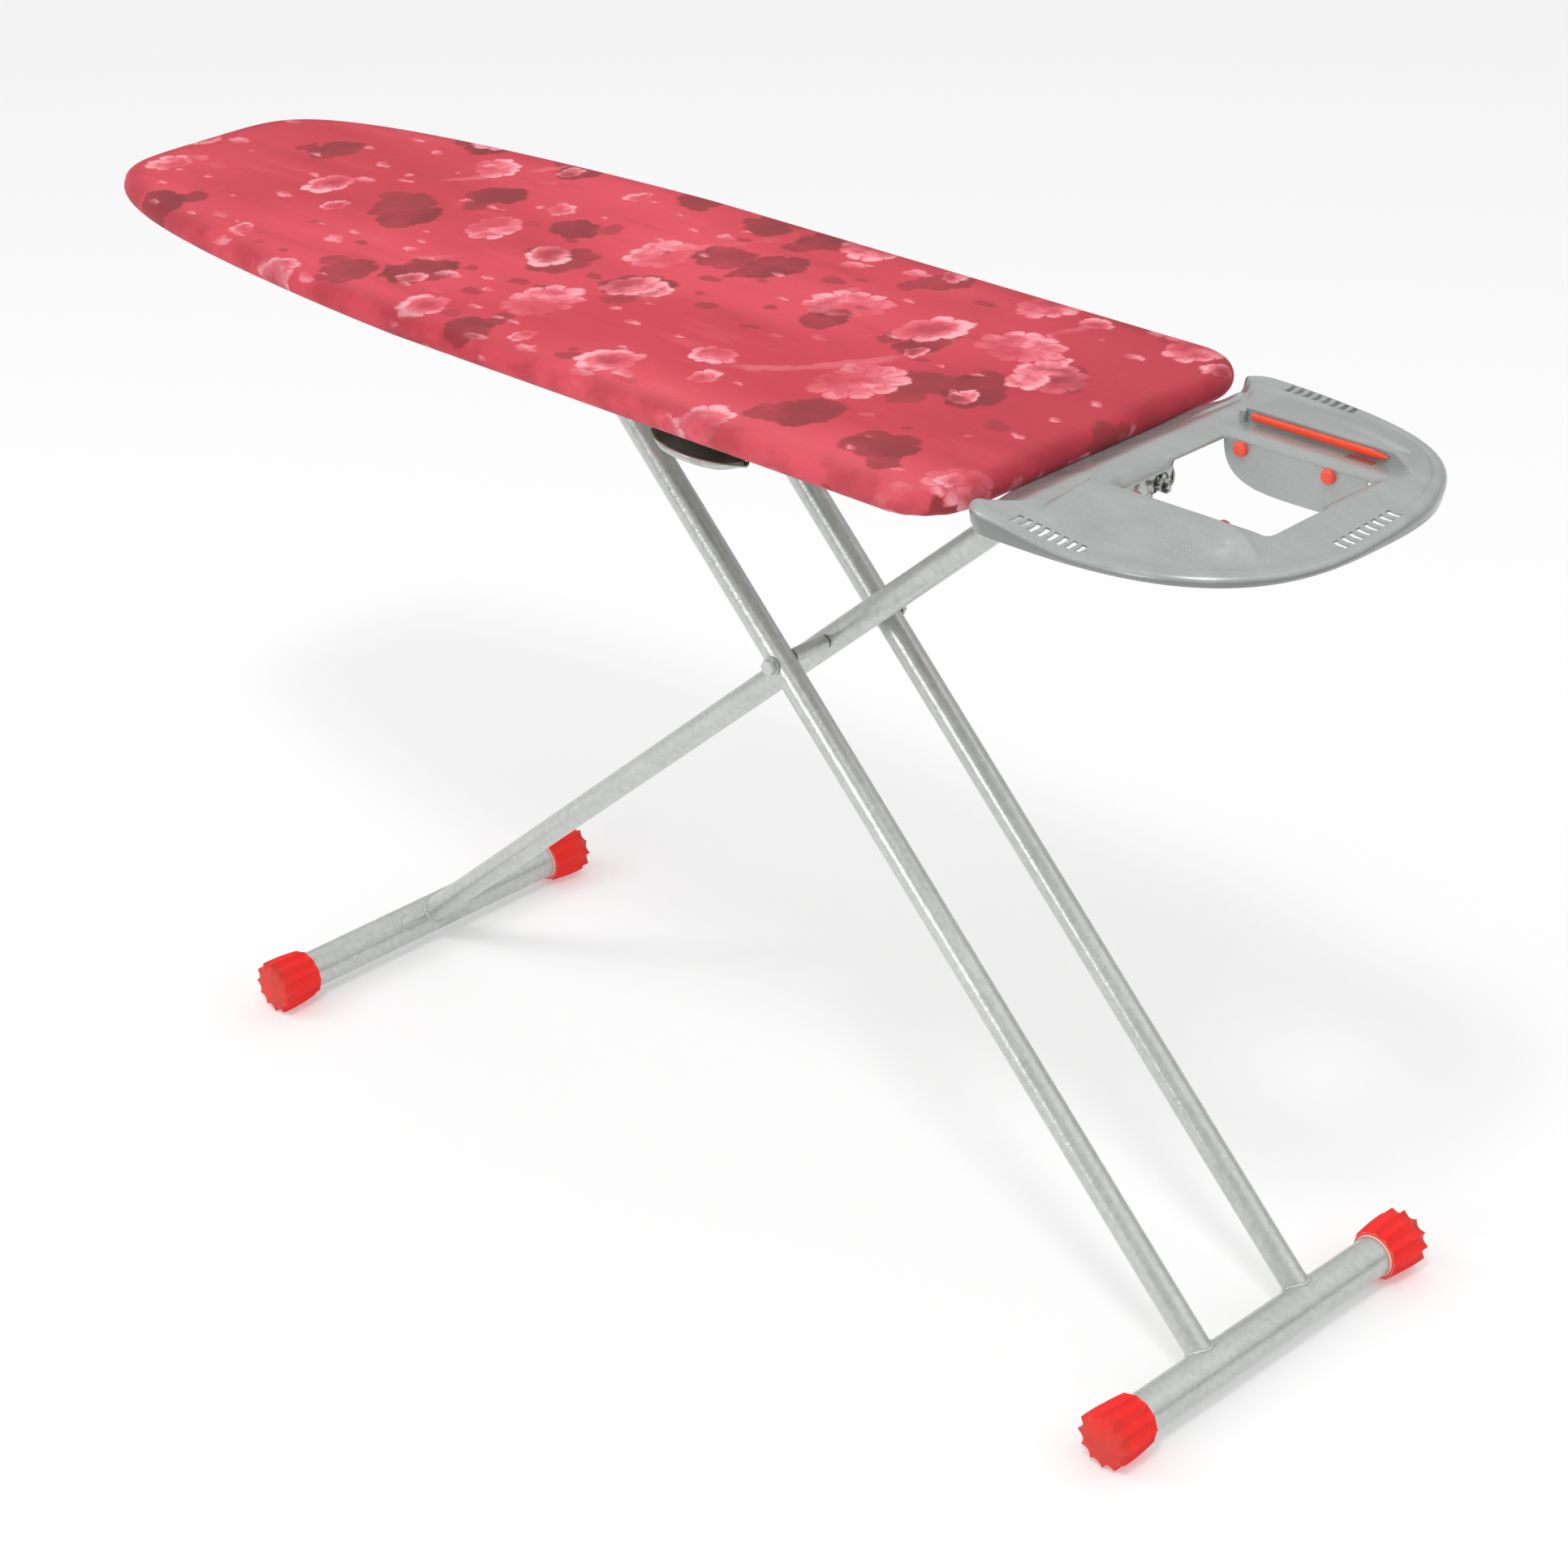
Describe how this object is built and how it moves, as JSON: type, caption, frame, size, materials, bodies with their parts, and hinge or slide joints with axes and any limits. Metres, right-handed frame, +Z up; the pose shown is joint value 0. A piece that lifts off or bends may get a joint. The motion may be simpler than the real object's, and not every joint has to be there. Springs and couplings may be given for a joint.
{
  "type": "folding ironing board",
  "caption": "Folding ironing board: padded cloth-covered top with a tapering nose, crossed tube legs with ribbed foot caps, and an iron rest tray with an opening.",
  "frame": {"origin": "on the floor, under the middle of the whole length of board and tray, on the centre plane", "axes": "+X along the board from the nose to the iron tray, +Y across the board, +Z up"},
  "size_m": [1.477, 0.416, 0.832],
  "materials": {
    "cover_cloth": "plain woven cotton with a printed flower pattern",
    "draw_cord": "braided cotton cord",
    "foam": "open-cell foam underlay",
    "frame_paint": "grey powder-coated steel",
    "zinc_steel": "zinc-plated pressed steel",
    "hardware_steel": "plated steel fasteners and pins",
    "spring_steel": "oiled spring wire",
    "tray_plastic": "silver-grey moulded plastic, satin",
    "strip_silicone": "red-orange silicone",
    "bumper_silicone": "red silicone",
    "leg_paint": "silver-grey painted steel tube, satin",
    "lever_steel": "pressed steel plate with a bright curled lip",
    "nylon": "dark nylon",
    "cap_plastic": "ribbed red moulded plastic"
  },
  "bodies": {
    "board": {"cover": "cover_cloth", "cover_draw_cord": "draw_cord", "foam_pad": "foam", "mesh_panel": "frame_paint", "rim_channel": "frame_paint", "track_rail_front": "zinc_steel", "track_rail_back": "zinc_steel", "brace_nose": "frame_paint", "brace_track": "frame_paint", "brace_middle": "frame_paint", "brace_end": "frame_paint", "frame_rivets": "hardware_steel", "hinge_bracket": "zinc_steel", "hinge_pin": "hardware_steel", "hinge_pin_clips": "hardware_steel", "iron_tray": "tray_plastic", "silicone_strip_front": "strip_silicone", "silicone_strip_back": "strip_silicone", "bumper_buttons_front": "bumper_silicone", "bumper_buttons_back": "bumper_silicone", "tray_bolt": "hardware_steel", "tray_nut": "hardware_steel", "lever_bracket": "zinc_steel", "shaft_bracket": "zinc_steel", "lever_spring": "spring_steel"},
    "single_leg": {"single_leg": "leg_paint", "hinge_bush": "nylon", "pivot_bush": "nylon", "single_foot_bar": "leg_paint", "single_foot_cap_front": "cap_plastic", "single_foot_cap_back": "cap_plastic"},
    "twin_legs": {"twin_leg_front": "leg_paint", "twin_leg_back": "leg_paint", "leg_end_plugs": "nylon", "locking_rod": "hardware_steel", "pivot_bolt": "hardware_steel", "pivot_washers": "hardware_steel", "pivot_spacers": "hardware_steel", "pivot_nut": "hardware_steel", "twin_foot_bar": "leg_paint", "twin_foot_cap_front": "cap_plastic", "twin_foot_cap_back": "cap_plastic"},
    "height_lever": {"height_lever": "lever_steel", "lever_shaft": "hardware_steel", "latch_pawl": "hardware_steel"}
  },
  "joints": [
    {"name": "leg_fold", "type": "hinge", "parent": "board", "child": "single_leg", "pos_m": [0.4375, 0, 0.782], "axis": [0, 1, 0], "range_deg": [0, 38]},
    {"name": "scissor_pivot", "type": "hinge", "parent": "single_leg", "child": "twin_legs", "pos_m": [0.14706, 0, 0.54261], "axis": [0, 1, 0], "range_deg": [-82.5, 0]},
    {"name": "lever_press", "type": "hinge", "parent": "board", "child": "height_lever", "pos_m": [0.1565, -0.092, 0.79], "axis": [-1, 0, 0], "range_deg": [0, 8], "stiffness_Nm_per_rad": 1.5, "springref_deg": -17.19}
  ],
  "couplings": [
    {"joint": "scissor_pivot", "follows": "leg_fold", "ratio": -2.1696}
  ]
}
